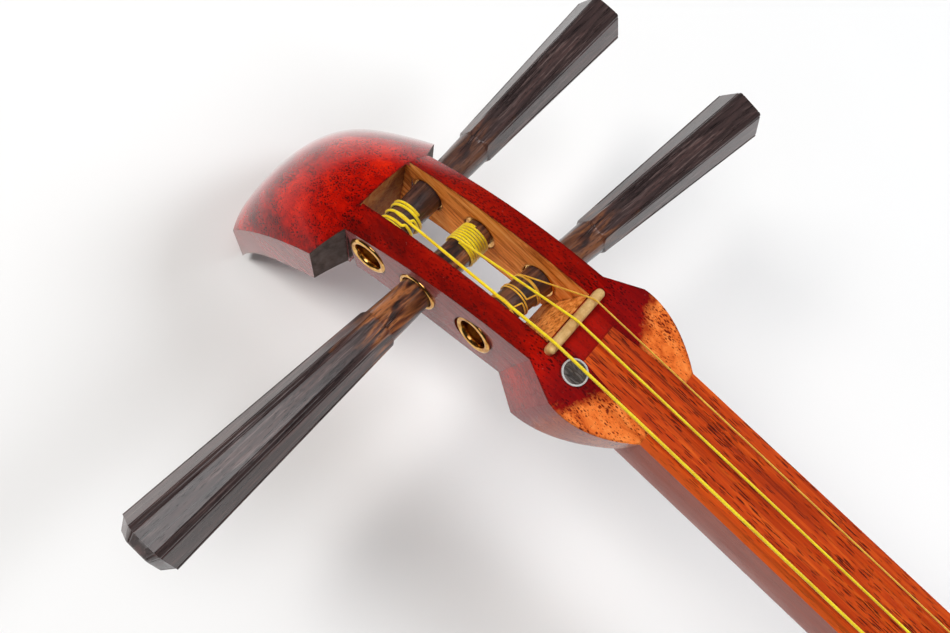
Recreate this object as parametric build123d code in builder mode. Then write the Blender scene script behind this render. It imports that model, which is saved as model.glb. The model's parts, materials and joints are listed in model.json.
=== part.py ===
"""A complete three-string long-necked lute (shamisen), lying on its back.

+X runs along the neck towards the head, +Y to the side of the single peg, +Z up out of the front skin.
The origin is the centre of the back skin.  The neck and head are drawn in the neck's own frame: its XY
plane is the fingerboard and its origin is under the nut.  It stands so that the head's tip touches z = 0.
"""

import math
import os

from build123d import *

# ---- body --------------------------------------------------------------------------------------------
BODY_LENGTH = 202.0        # along the neck
BODY_WIDTH = 190.0
BODY_SWELL = 6.0           # how far each side bows out
BODY_CORNER = 5.0
PANEL_HEIGHT = 93.0
PANEL_WALL = 13.0
SKIN = 0.8
SKIN_SKIRT = 11.0          # how far a skin is glued down over the sides

# ---- neck --------------------------------------------------------------------------------------------
NECK_LENGTH = 628.0        # nut to body edge
NECK_TILT = 0.1            # degrees, the head sinking
SEAM_X = -37.0             # neck frame: where the head's cheeks end
JOINT_X = (-228.0, -420.0) # neck frame: the two places where the neck comes apart
NECK_HALF_WIDTH = 14.6
NECK_WIDENING = 0.0036     # half-width per millimetre
NECK_SIDE = 8.0
NECK_DEPTH = 34.0
NECK_DEEPENING = 0.006     # depth per millimetre
TENON = (38.0, 11.0, 15.0) # length, width, height
TENON_BELOW = 13.0         # its middle, below the fingerboard
TENON_GAP = 0.1
HEEL = 40.0                # the neck deepens over this length before the body
HEEL_SECTIONS = (          # before the body's edge: distance, widening, side, depth
    (22.0, 0.2, 10.0, 42.0),
    (8.0, 0.6, 18.0, 50.0),
    (-4.0, 1.0, 32.0, 58.0),
)
ROLL_OFF = (46.0, 20.0, -5.0)      # before the body's edge: start, middle, end of the fingerboard's roll
ROLL_DROP = (0.0, 2.4, 9.3)        # how far it has dropped at each

# ---- head --------------------------------------------------------------------------------------------
CREASE_X = -9.2            # neck frame: the cheeks' widest line, where the head starts to fall back
CHEEK_HALF_WIDTH = 25.0
CHEEK_WIDEST = 0.85        # share of the way from the seam to the crease
CHEEK_SIDE = 30.0
CHEEK_DEPTH = 34.5
WEDGE_HALF = (10.4, 7.4)   # neck's tongue at the seam and at the crease
WEDGE_DEPTH = (18.0, 14.0)
HEAD_START_ANGLE = 3.4     # degrees the head falls at the crease
HEAD_END_ANGLE = 21.0      # and at the shoulders
FLARE_LEAN = -5.5          # degrees the crease and flare lean
FLARE = 12.2               # distances along the head's curve from the crease
SHOULDER = 86.0
PEGBOX_HALF = (18.4, 20.0)
PEGBOX_DEPTH = 26.0
PEGBOX_CROWN = 6.0
SHELL_LEAN = 10.0          # degrees the shell's sections lean
SHELL_SECTIONS = (         # crest x and z, half-width, crown, edge and middle thickness
    (72.5, -19.8, 30.8, 10.5, 16.5, 25.0),
    (90.4, -30.4, 31.2, 14.2, 18.0, 24.5),
    (105.0, -43.5, 31.8, 16.6, 17.0, 26.0),
    (115.5, -59.0, 32.2, 16.6, 19.0, 28.0),
    (121.5, -76.0, 32.4, 15.0, 27.0, 26.5),
)
TIP_ARC = 86.5             # radius of the far edge, seen from the front
NOTCH_X = 73.6             # where the shoulders stand out from the pegbox
NOTCH_Y = 19.8
SHOULDER_SWEEP = (6.4, 32.0)       # the shoulder's outer end: how far past the notch, how far out
SLOT_HALF = (10.5, 11.0)
SLOT_WALL = 8.4
THROUGH = 90.0             # a cut this long goes right through the head

# ---- nut, strings, bridge ----------------------------------------------------------------------------
NUT_X = 0.4
NUT = (3.2, 27.5, 2.6)     # width, length, height above the wood
NUT_SUNK = 1.4
NUT_ROUNDING = 1.2
STRING_Y = (10.8, 0.6, -8.7)
STRING_RADIUS = (0.55, 0.45, 0.3)
BRIDGE_X = -62.0
BRIDGE = (44.0, 34.0, 11.5, 4.6)   # foot length, top length, height, foot thickness
BRIDGE_FOOT = (9.0, 2.2)   # each foot's length and the height of its end
BRIDGE_ARCH = 5.5          # height of the arch between the feet
BRIDGE_EDGE = 1.8          # thickness under the strings
BRIDGE_SPREAD = 1.03       # the strings stand this much further apart at the bridge
CORD_RADIUS = 2.0
CORD_BAR_X = -84.0

# ---- pegs --------------------------------------------------------------------------------------------
PEG_NAMES = ("a", "b", "c")
PEG_X = (62.9, 41.5, 17.6)         # neck frame, where a peg's axis crosses the slot's middle
PEG_BELOW = 14.2                   # below the head's surface
PEG_SIDE = (-1, 1, -1)             # handle towards +Y or -Y
PEG_SLANT = (2.9, 1.2, -6.7)       # degrees, handle leaning to the head
JOURNAL = (5.7, 5.0)               # radii in the two ferrules, handle side first
RUNNING_GAP = 0.05
FERRULE_RADIUS = 6.4
FLANGE = (7.3, 1.1)                # radius, thickness
PEG_COLLAR = 18.5                  # from the wall to the end of the round shaft
PEG_LENGTH = (102.0, 105.0, 105.0) # from the wall to the butt
HEX_RADIUS = (7.4, 10.6)           # corner radius at the collar and at the butt
PEG_REACH = 4.4                    # how far the thin end goes into the far ferrule
TURN_SPOTS = (                     # across the slot, towards the handle
    (-8.3, -7.1, -4.6, -1.2, 0.6),
    (-8.6, -7.6, -6.6, -5.6, -4.6, -3.6, -2.6, -1.6, -0.6),
    (-6.5, -5.6, -1.2, 0.0, 4.6, 5.4),
)

# ---- buzz adjuster -----------------------------------------------------------------------------------
BUZZ_X, BUZZ_Y = -9.3, 12.0
BUZZ_RADIUS = 4.2
BUZZ_WALL = 0.55
BUZZ_SCREW = 1.6

# ---- small fits and shapes ---------------------------------------------------------------------------
JOINT_LINE = 0.03
PRESS_GAP = 0.02
FLANGE_SUNK = 0.3
SPIKE_GAP = 0.3
TURN_GAP = 0.03
PEG_TIP_BEVEL = 0.5
SHAFT_END = 6.3            # radius of the round shaft where the facets begin
SHAFT_CORE = (3.0, 24.0)   # the round shaft runs on inside the facets: straight part, whole
FACET_EMERGE = (6.15, 20.0, 18.0)  # cone the facets come out of: radius, far radius, length
HEX_TURN = 30
HEX_EDGE_BEVEL = 0.35
BUTT_BEVEL = 3.0
BUZZ_SLEEVE = 20.0
BUZZ_PLUG = 8.0            # its depth under the fingerboard
BUZZ_KNOB = (3.4, 3.4)     # radius, height
BUZZ_KNOB_TOP = 29.6       # how deep the knob's shoulder is
CORD_LEG = 9.0
CORD_BEND = 2.7
CORD_BAR = 27.0
STRING_BEND = 4.0
STRING_CLEAR = 0.15
TAKE_OFF = (-4.6, -0.6, 5.4)
RAMP = Plane(origin=(5.9, 0, -14.3), x_dir=(0, 1, 0), z_dir=(0.967, 0, 0.254))
SLOT_END = Plane(origin=(74.4, 0, -28.0), x_dir=(0, 1, 0), z_dir=(0.996, 0, -0.087))


def head_curve(s):
    """Point (x, z) and fall angle on the head's top line, s along it from the crease."""
    start, end = math.radians(HEAD_START_ANGLE), math.radians(HEAD_END_ANGLE)
    bend = (end - start) / SHOULDER
    angle = start + bend * s
    x = CREASE_X + (math.sin(angle) - math.sin(start)) / bend
    z = (math.cos(angle) - math.cos(start)) / bend
    return x, z, angle


def head_plane(s):
    """Section plane across the head: local x is +Y, local y is out of the front."""
    x, z, angle = head_curve(s)
    return Plane(origin=(x, 0, z), x_dir=(0, 1, 0), z_dir=(math.cos(angle), 0, -math.sin(angle)))


def leaning(x, z, degrees):
    """Section plane through (x, z), its top leaning towards the head."""
    lean = math.radians(degrees)
    return Plane(origin=(x, 0, z), x_dir=(0, 1, 0), z_dir=(math.cos(lean), 0, -math.sin(lean)))


def across(x):
    """Section plane straight across the neck."""
    return Plane(origin=(x, 0, 0), x_dir=(0, 1, 0), z_dir=(1, 0, 0))


def half_width(x):
    """The neck's half-width at x."""
    return NECK_HALF_WIDTH + NECK_WIDENING * (SEAM_X - x)


def round_back(half, side, depth):
    """Outline of a flat-topped, round-backed section."""
    Polyline((-half, -side), (-half, 0), (half, 0), (half, -side))
    EllipticalCenterArc((0, -side), half, depth - side, start_angle=180, arc_size=180)


def crowned(half, crown, edge, middle):
    """Outline of a section with an arched front and an arched back."""
    ThreePointArc((-half, -crown), (0, 0), (half, -crown))
    Line((half, -crown), (half, -crown - edge))
    ThreePointArc((half, -crown - edge), (0, -middle), (-half, -crown - edge))
    Line((-half, -crown - edge), (-half, -crown))


def save(solid, label):
    """Name a finished piece and write it out."""
    solid.label = label
    export_step(solid, f"parts/{label}.step")


def curve_s(x):
    """Distance along the head's top line at which it reaches x."""
    low, high = 0.0, SHOULDER
    for _ in range(40):
        middle = (low + high) / 2
        low, high = (middle, high) if head_curve(middle)[0] < x else (low, middle)
    return low


def peg_plane(i):
    """Plane through the slot's middle, +Z of the plane along the peg towards its handle."""
    x = PEG_X[i]
    z = head_curve(curve_s(x))[1] - PEG_BELOW
    slant = math.radians(PEG_SLANT[i])
    along = (math.sin(slant), PEG_SIDE[i] * math.cos(slant), 0)
    return Plane(origin=(x, 0, z), x_dir=(0, 0, 1), z_dir=along)


def pegbox_half(i):
    """The pegbox's half-width at a peg."""
    share = (curve_s(PEG_X[i]) - FLARE) / (SHOULDER - FLARE)
    return PEGBOX_HALF[0] + share * (PEGBOX_HALF[1] - PEGBOX_HALF[0])


def tongue(gap=0.0):
    """Two sections of the neck's wedge between the cheeks."""
    sections = []
    for x, half, depth in zip((SEAM_X - 1, CREASE_X), WEDGE_HALF, WEDGE_DEPTH):
        with BuildSketch(across(x)) as section:
            with Locations((0, -depth / 2 + 2)):
                Rectangle(2 * (half + gap), depth + 4 + 2 * gap)
        sections.append(section.sketch)
    return sections


def body_outline(z=0.0, grow=0.0):
    """The body's four bowed sides, seen from the front."""
    x, y, bow = BODY_LENGTH / 2 + grow, BODY_WIDTH / 2 + grow, BODY_SWELL
    with BuildSketch(Plane.XY.offset(z)) as outline:
        with BuildLine():
            ThreePointArc((x, -y), (x + bow, 0), (x, y))
            ThreePointArc((x, y), (0, y + bow), (-x, y))
            ThreePointArc((-x, y), (-x - bow, 0), (-x, -y))
            ThreePointArc((-x, -y), (0, -y - bow), (x, -y))
        make_face()
        fillet(outline.vertices(), BODY_CORNER + grow)
    return outline.sketch


def spike(gap=0.0):
    """Sections of the neck's long tail, which passes through both end panels."""
    sections = []
    for x, half, top, bottom in SPIKE_SECTIONS:
        with BuildSketch(across(x)) as section:
            with Locations((0, (top + bottom) / 2)):
                RectangleRounded(2 * (half + gap), top - bottom + 2 * gap, 2.0 + gap)
        sections.append(section.sketch)
    return sections


def neck_section(x, half, side, depth):
    """One flat-topped, round-backed section of the neck."""
    with BuildSketch(across(x)) as section:
        with BuildLine():
            round_back(half, side, depth)
        make_face()
    return section.sketch


os.makedirs("parts", exist_ok=True)
nut_x, nut_z, _ = head_curve(curve_s(NUT_X))
NUT_SEAT = Plane(origin=(nut_x, 0, nut_z - NUT_SUNK), x_dir=(0, 1, 0), z_dir=(0, 0, 1))
BODY_EDGE = BODY_LENGTH / 2 + BODY_SWELL
BODY_TOP = PANEL_HEIGHT + 2 * SKIN
SPIKE_SECTIONS = (         # neck frame: x, half-width, top, bottom
    (-NECK_LENGTH + 12, 10.0, -24.0, -57.0),
    (-NECK_LENGTH - 10, 9.0, -26.0, -55.0),
    (-NECK_LENGTH - 2 * BODY_EDGE - 15, 6.5, -33.0, -54.0),
)

# ======================================================================================================
# Head: cheeks, flare, pegbox walls and the shell-shaped tip, one piece of wood
# ======================================================================================================
CHEEK_STATIONS = (0.0, 0.15, 0.35, 0.6, 0.85, 1.0)
PEGBOX_STATIONS = (0.35, 0.7, 1.0)
FLAT_CROWN = 0.1
pegbox_x, pegbox_z, _ = head_curve(FLARE)

with BuildSketch(leaning(pegbox_x, pegbox_z, FLARE_LEAN)) as pegbox_start:
    with BuildLine():
        crowned(PEGBOX_HALF[0], FLAT_CROWN, PEGBOX_DEPTH, PEGBOX_DEPTH + 0.6)
    make_face()

with BuildPart() as head:
    for station in CHEEK_STATIONS:
        x = SEAM_X + (CREASE_X - SEAM_X) * station
        swell = 1 - abs(1 - station / CHEEK_WIDEST) ** 1.9
        half = NECK_HALF_WIDTH + (CHEEK_HALF_WIDTH - NECK_HALF_WIDTH) * swell
        side = NECK_SIDE + (CHEEK_SIDE - NECK_SIDE) * station
        with BuildSketch(leaning(x, 0, FLARE_LEAN * station)):
            with BuildLine():
                round_back(half, side, NECK_DEPTH + (CHEEK_DEPTH - NECK_DEPTH) * station)
            make_face()
    loft()
    with BuildSketch(leaning(CREASE_X, 0, FLARE_LEAN)):
        with BuildLine():
            crowned(half, FLAT_CROWN / 2, CHEEK_SIDE, CHEEK_DEPTH)
        make_face()
    add(pegbox_start.sketch)
    loft(ruled=True)
    add(pegbox_start.sketch)
    for share in PEGBOX_STATIONS:
        with BuildSketch(head_plane(FLARE + share * (SHOULDER - FLARE))):
            with BuildLine():
                half = PEGBOX_HALF[0] + share * (PEGBOX_HALF[1] - PEGBOX_HALF[0])
                crown = FLAT_CROWN + PEGBOX_CROWN * share ** 1.5
                crowned(half, crown, PEGBOX_DEPTH + 0.6 - crown, PEGBOX_DEPTH + 1.2)
            make_face()
    loft()
    for x, z, half, crown, edge, middle in SHELL_SECTIONS:
        with BuildSketch(leaning(x, z, SHELL_LEAN)):
            with BuildLine():
                crowned(half, crown, edge, middle)
            make_face()
    loft()
    # the shell's shoulders are cut back, and its far edge is an arc
    lean = math.radians(SHELL_LEAN)
    plan = Plane(
        origin=(NOTCH_X, 0, SHELL_SECTIONS[0][1]),
        x_dir=(math.cos(lean), 0, -math.sin(lean)),
        z_dir=(math.sin(lean), 0, math.cos(lean)),
    )
    shift, out = SHOULDER_SWEEP
    for sign in (1, -1):
        with BuildSketch(plan):
            with BuildLine():
                Polyline(
                    (0, sign * NOTCH_Y),
                    (shift, sign * out),
                    (shift, sign * 2 * out),
                    (-shift, sign * 2 * out),
                    (-shift, sign * PEGBOX_HALF[1]),
                    (-0.5, sign * PEGBOX_HALF[1]),
                    close=True,
                )
            make_face()
        extrude(amount=THROUGH, both=True, mode=Mode.SUBTRACT)
    tip = plan.to_local_coords(Vector(SHELL_SECTIONS[-1][0], 0, SHELL_SECTIONS[-1][1]))
    with BuildSketch(plan):
        with Locations((tip.X, 0)):
            Rectangle(TIP_ARC / 4, 4 * PEGBOX_HALF[1])
        with Locations((tip.X - TIP_ARC, 0)):
            Circle(TIP_ARC, mode=Mode.SUBTRACT)
    extrude(amount=THROUGH, both=True, mode=Mode.SUBTRACT)
    # the slot that the strings are wound in goes right through
    with BuildSketch(RAMP):
        Rectangle(2 * SLOT_HALF[0], THROUGH)
    with BuildSketch(SLOT_END):
        Rectangle(2 * SLOT_HALF[1], THROUGH)
    loft(ruled=True, mode=Mode.SUBTRACT)
    # the neck's wedge between the cheeks
    loft(tongue(gap=JOINT_LINE), ruled=True, mode=Mode.SUBTRACT)
    # ferrule holes, with a seat for each flange
    for i in range(3):
        with BuildSketch(peg_plane(i)):
            Circle(FERRULE_RADIUS + PRESS_GAP)
        extrude(amount=THROUGH / 2, both=True, mode=Mode.SUBTRACT)
        for side in (1, -1):
            seat = peg_plane(i).offset(side * (pegbox_half(i) - FLANGE_SUNK))
            with BuildSketch(seat):
                Circle(FLANGE[0] + PRESS_GAP)
            extrude(amount=side * FLANGE[0], mode=Mode.SUBTRACT)
    # groove for the nut
    with BuildSketch(NUT_SEAT):
        SlotOverall(NUT[1] + 2 * PRESS_GAP, NUT[0] + 2 * PRESS_GAP)
    extrude(amount=NUT_SUNK + NUT[2], mode=Mode.SUBTRACT)
    # stepped hole for the buzz adjuster
    for radius, low, high in (
        (BUZZ_RADIUS + PRESS_GAP, -BUZZ_SLEEVE, 1.0),
        (BUZZ_SCREW + TENON_GAP, -CHEEK_DEPTH - 5, 0.0),
        (BUZZ_KNOB[0] + SPIKE_GAP, -CHEEK_DEPTH - 5, -BUZZ_KNOB_TOP + TENON_GAP),
    ):
        with BuildSketch(Plane(origin=(BUZZ_X, BUZZ_Y, low))):
            Circle(radius)
        extrude(amount=high - low, mode=Mode.SUBTRACT)

# The neck frame stands so that the head's lowest point is at z = 0.
tilt_only = Location((0, 0, 0), (0, NECK_TILT, 0))
surface_points, _ = head.part.moved(tilt_only).tessellate(0.05)
nut_height = -min(point.Z for point in surface_points)
NECK_FRAME = Location((BODY_EDGE + NECK_LENGTH, 0, nut_height), (0, NECK_TILT, 0))
save(head.part.moved(NECK_FRAME), "head")


def in_row(x, y, z):
    """A point of the neck frame, in the instrument's own frame."""
    return (NECK_FRAME * Location((x, y, z))).position


# ======================================================================================================
# Neck: three lengths with tenons, the last with the heel and the long spike
# ======================================================================================================
def neck_depth(x):
    """How deep the neck is at x."""
    return NECK_DEPTH + NECK_DEEPENING * (SEAM_X - x)


def neck_length(start, stop):
    """A plain length of neck in the current part."""
    loft([neck_section(x, half_width(x), NECK_SIDE, neck_depth(x)) for x in (start, stop)], ruled=True)


def tenon(x, gap=0.0, mode=Mode.ADD):
    """A tenon standing out of a section's upper end, or the mortise for it."""
    long, wide, high = TENON
    with BuildSketch(across(x)) as section:
        with Locations((0, -TENON_BELOW)):
            Rectangle(wide + 2 * gap, high + 2 * gap)
    extrude(section.sketch, amount=long + 4 * gap, mode=mode)


with BuildPart() as neck_upper:
    neck_length(SEAM_X, JOINT_X[0])
    loft(tongue(), ruled=True)
    with BuildSketch(Plane.XY):
        with Locations((SEAM_X, 0)):
            Rectangle(-2 * CREASE_X - 2 * SEAM_X, 2 * CHEEK_HALF_WIDTH)
    extrude(amount=5, mode=Mode.SUBTRACT)
    tenon(JOINT_X[0], gap=TENON_GAP, mode=Mode.SUBTRACT)
save(neck_upper.part.moved(NECK_FRAME), "neck_upper")

with BuildPart() as neck_middle:
    neck_length(JOINT_X[0], JOINT_X[1])
    tenon(JOINT_X[0])
    tenon(JOINT_X[1], gap=TENON_GAP, mode=Mode.SUBTRACT)
save(neck_middle.part.moved(NECK_FRAME), "neck_middle")

with BuildPart() as body_void:
    extrude(body_outline(grow=JOINT_LINE), amount=BODY_TOP)
    for low in (-1.0, BODY_TOP - SKIN - SKIN_SKIRT - 0.05):
        extrude(body_outline(low, SKIN + JOINT_LINE), amount=SKIN + SKIN_SKIRT + 1.0)

with BuildPart() as neck_lower:
    heel = -NECK_LENGTH + HEEL
    neck_length(JOINT_X[1], heel)
    tenon(JOINT_X[1])
    wide = half_width(heel)
    sections = [neck_section(heel, wide, NECK_SIDE, neck_depth(heel))]
    for before, widening, side, depth in HEEL_SECTIONS:
        sections.append(neck_section(-NECK_LENGTH + before, wide + widening, side, depth))
    loft(sections)
    # the fingerboard's end rolls down to the skin
    with BuildSketch(Plane.XZ):
        with BuildLine():
            start, middle, end = [(-NECK_LENGTH + before, -drop) for before, drop in zip(ROLL_OFF, ROLL_DROP)]
            Polyline(start, (start[0], HEEL), (end[0], HEEL), end)
            ThreePointArc(end, middle, start)
        make_face()
    extrude(amount=HEEL, both=True, mode=Mode.SUBTRACT)
    add(body_void.part.moved(NECK_FRAME.inverse()), mode=Mode.SUBTRACT)
    loft(spike(), ruled=True)
save(neck_lower.part.moved(NECK_FRAME), "neck_lower")

# ======================================================================================================
# Body: four bowed panels mitred at the corners, and two skins
# ======================================================================================================
with BuildPart() as spike_hole:
    loft(spike(gap=SPIKE_GAP), ruled=True)

CORNER = Vector(BODY_LENGTH / 2, BODY_WIDTH / 2)
MITRE_REACH = (20.0, -40.0)        # the mitres run this far out of the corner and in from it


def panel(name, along_x, sign):
    """One side panel, cut from the bowed frame between two mitres."""
    ends = [CORNER + Vector(reach, reach) for reach in MITRE_REACH]
    corners = [(end.X, end.Y) for end in ends] + [(end.X, -end.Y) for end in reversed(ends)]
    if along_x:
        wedge = [(sign * x, y) for x, y in corners]
    else:
        corners = [(end.X, end.Y) for end in ends] + [(-end.X, end.Y) for end in reversed(ends)]
        wedge = [(x, sign * y) for x, y in corners]
    with BuildPart() as piece:
        with BuildSketch(Plane.XY.offset(SKIN)):
            add(body_outline())
            Rectangle(BODY_LENGTH - 2 * PANEL_WALL, BODY_WIDTH - 2 * PANEL_WALL, mode=Mode.SUBTRACT)
            with BuildLine():
                Polyline(*wedge, close=True)
            make_face(mode=Mode.INTERSECT)
        extrude(amount=PANEL_HEIGHT)
        if along_x:
            add(spike_hole.part.moved(NECK_FRAME), mode=Mode.SUBTRACT)
    save(piece.part, name)


panel("body_panel_head", True, 1)
panel("body_panel_tail", True, -1)
panel("body_panel_left", False, 1)
panel("body_panel_right", False, -1)

for name, face_z, inward in (("back_skin", 0.0, 1), ("front_skin", BODY_TOP, -1)):
    with BuildPart() as skin:
        extrude(body_outline(face_z, SKIN), amount=inward * (SKIN + SKIN_SKIRT))
        extrude(body_outline(face_z + inward * SKIN), amount=inward * (SKIN_SKIRT + 1), mode=Mode.SUBTRACT)
    save(skin.part, name)

# ======================================================================================================
# Nut and bridge
# ======================================================================================================
with BuildPart() as nut:
    with BuildSketch(NUT_SEAT):
        SlotOverall(NUT[1], NUT[0])
    extrude(amount=NUT_SUNK + NUT[2])
    fillet(nut.faces().sort_by(Axis.Z)[-1].edges(), NUT_ROUNDING)
save(nut.part.moved(NECK_FRAME), "nut")

foot, top, height, thick = BRIDGE
foot_length, foot_height = BRIDGE_FOOT
with BuildPart() as bridge:
    with BuildSketch(Plane(origin=(BRIDGE_X - thick / 2, 0, BODY_TOP), x_dir=(0, 1, 0), z_dir=(1, 0, 0))):
        inner_end = foot / 2 - foot_length
        with BuildLine():
            Polyline(
                (-inner_end, 0),
                (-foot / 2, 0),
                (-foot / 2, foot_height),
                (-top / 2, height),
                (top / 2, height),
                (foot / 2, foot_height),
                (foot / 2, 0),
                (inner_end, 0),
            )
            ThreePointArc((inner_end, 0), (0, BRIDGE_ARCH), (-inner_end, 0))
        make_face()
    extrude(amount=thick)
    # both faces lean in towards the playing edge
    with BuildSketch(Plane.XZ.offset(-foot)):
        for sign in (1, -1):
            with BuildLine():
                Polyline(
                    (BRIDGE_X + sign * (thick / 2 + 0.01), BODY_TOP + foot_height),
                    (BRIDGE_X + sign * BRIDGE_EDGE / 2, BODY_TOP + height),
                    (BRIDGE_X + sign * BRIDGE_EDGE / 2, BODY_TOP + height + thick),
                    (BRIDGE_X + sign * 2 * thick, BODY_TOP + height + thick),
                    (BRIDGE_X + sign * 2 * thick, BODY_TOP + foot_height),
                    close=True,
                )
            make_face()
    extrude(amount=2 * foot, mode=Mode.SUBTRACT)
    for y, radius in zip(STRING_Y, STRING_RADIUS):
        groove = (BRIDGE_X - thick, y * BRIDGE_SPREAD, BODY_TOP + height)
        with BuildSketch(Plane(origin=groove, x_dir=(0, 1, 0), z_dir=(1, 0, 0))):
            Circle(radius + 0.2)
        extrude(amount=2 * thick, mode=Mode.SUBTRACT)
save(bridge.part, "bridge")

# ======================================================================================================
# Tail cord: a bar across the skin, and a loop over the body's edge round the spike
# ======================================================================================================
cord_z = BODY_TOP + CORD_RADIUS + 0.05
cord_x = -BODY_EDGE - SKIN - CORD_RADIUS - 0.3
spike_low = (NECK_FRAME * Location((-NECK_LENGTH - 2 * BODY_EDGE - 4, 0, SPIKE_SECTIONS[-1][3]))).position.Z
loop_z = spike_low - CORD_RADIUS - 1.2
with BuildPart() as tail_cord:
    with BuildLine() as loop:
        FilletPolyline(
            (CORD_BAR_X, CORD_LEG, cord_z),
            (cord_x, CORD_LEG, cord_z),
            (cord_x, CORD_LEG, loop_z),
            (cord_x, -CORD_LEG, loop_z),
            (cord_x, -CORD_LEG, cord_z),
            (CORD_BAR_X, -CORD_LEG, cord_z),
            radius=CORD_BEND,
        )
    with BuildSketch(Plane(origin=loop.line @ 0, z_dir=loop.line % 0)):
        Circle(CORD_RADIUS)
    sweep()
    with BuildSketch(Plane.XZ.offset(-CORD_BAR / 2)):
        with Locations((CORD_BAR_X, cord_z + 0.3)):
            Circle(CORD_RADIUS + 0.3)
    extrude(amount=CORD_BAR)
save(tail_cord.part, "tail_cord")

# ======================================================================================================
# Pegs, their ferrules and the turns of string on them
# ======================================================================================================
def shaft_radius(z, slot):
    """The peg's taper across the slot, z towards the handle."""
    share = min(max((z + slot) / (2 * slot), 0), 1)
    return JOURNAL[1] + share * (JOURNAL[0] - JOURNAL[1])


def torus_ring(plane, z, major, minor):
    """One turn of string round a peg."""
    return plane.offset(z) * Torus(major, minor)


for i, letter in enumerate(PEG_NAMES):
    plane = peg_plane(i)
    wall = pegbox_half(i)
    slot = wall - SLOT_WALL
    collar, butt = wall + PEG_COLLAR, wall + PEG_LENGTH[i]
    profile_plane = Plane(origin=plane.origin, x_dir=plane.x_dir, z_dir=plane.x_dir.cross(plane.z_dir))
    with BuildPart() as peg:
        with BuildSketch(profile_plane):
            with BuildLine():
                Polyline(
                    (0, -slot - PEG_REACH),
                    (JOURNAL[1] - PEG_TIP_BEVEL, -slot - PEG_REACH),
                    (JOURNAL[1], -slot - PEG_REACH + PEG_TIP_BEVEL),
                    (JOURNAL[1], -slot),
                    (JOURNAL[0], slot),
                    (JOURNAL[0], wall + FLANGE[1]),
                    (SHAFT_END, collar),
                    (SHAFT_END, collar + SHAFT_CORE[0]),
                    (JOURNAL[1], collar + SHAFT_CORE[1]),
                    (0, collar + SHAFT_CORE[1]),
                    close=True,
                )
            make_face()
        revolve(axis=Axis(plane.origin, plane.z_dir))
    with BuildPart() as handle:
        for z, radius in ((collar - SHAFT_END, HEX_RADIUS[0] - 0.28), (butt - BUTT_BEVEL, HEX_RADIUS[1])):
            with BuildSketch(plane.offset(z)):
                RegularPolygon(radius, 6, rotation=HEX_TURN)
        loft(ruled=True)
        long_edges = handle.edges().filter_by(lambda edge: edge.length > PEG_LENGTH[0] / 2)
        chamfer(long_edges, HEX_EDGE_BEVEL)
        for z, radius in ((butt - BUTT_BEVEL, HEX_RADIUS[1] - 0.3), (butt, HEX_RADIUS[1] - BUTT_BEVEL)):
            with BuildSketch(plane.offset(z)):
                RegularPolygon(radius, 6, rotation=HEX_TURN)
        loft(ruled=True)
        with BuildSketch(profile_plane):
            with BuildLine():
                near, far, length = FACET_EMERGE
                Polyline(
                    (0, collar - 1),
                    (near, collar - 1),
                    (far, collar - 1 + length),
                    (far, butt + 1),
                    (0, butt + 1),
                    close=True,
                )
            make_face()
        revolve(axis=Axis(plane.origin, plane.z_dir), mode=Mode.INTERSECT)
    whole_peg = peg.part + handle.part
    save(whole_peg.moved(NECK_FRAME), f"peg_{letter}")

    for end, side in (("handle", 1), ("far", -1)):
        bore = (JOURNAL[0] if side == 1 else JOURNAL[1]) + RUNNING_GAP
        with BuildPart() as ferrule:
            with BuildSketch(plane.offset(side * (slot + 0.2))):
                Circle(FERRULE_RADIUS)
            extrude(amount=side * (SLOT_WALL - 0.2))
            with BuildSketch(plane.offset(side * (wall - FLANGE_SUNK))):
                Circle(FLANGE[0])
            extrude(amount=side * FLANGE[1])
            outward = Axis(plane.origin, plane.z_dir * side)
            fillet(ferrule.faces().sort_by(outward)[-1].edges(), FLANGE[1] * 0.55)
            with BuildSketch(plane):
                Circle(bore)
            extrude(amount=side * THROUGH, mode=Mode.SUBTRACT)
            lip = ferrule.faces().sort_by(outward)[-1].edges().sort_by(SortBy.LENGTH)[0]
            chamfer(lip, 0.3)
        save(ferrule.part.moved(NECK_FRAME), f"ferrule_{letter}_{end}")

    wire = STRING_RADIUS[i]
    turns = [torus_ring(plane, z, shaft_radius(z, slot) + wire + TURN_GAP, wire) for z in TURN_SPOTS[i]]
    save(Compound(children=turns).moved(NECK_FRAME), f"string_turns_{letter}")

# ======================================================================================================
# Strings: tail bar, over the bridge and nut, to just short of the turns
# ======================================================================================================
def lifted(before, at, after):
    """A bend's corner, raised so that the string's arc there clears what it passes over."""
    turn = math.radians((at - before).get_angle(after - at))
    return at + Vector(0, 0, STRING_BEND * (1 / math.cos(turn / 2) - 1) + STRING_CLEAR)


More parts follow.
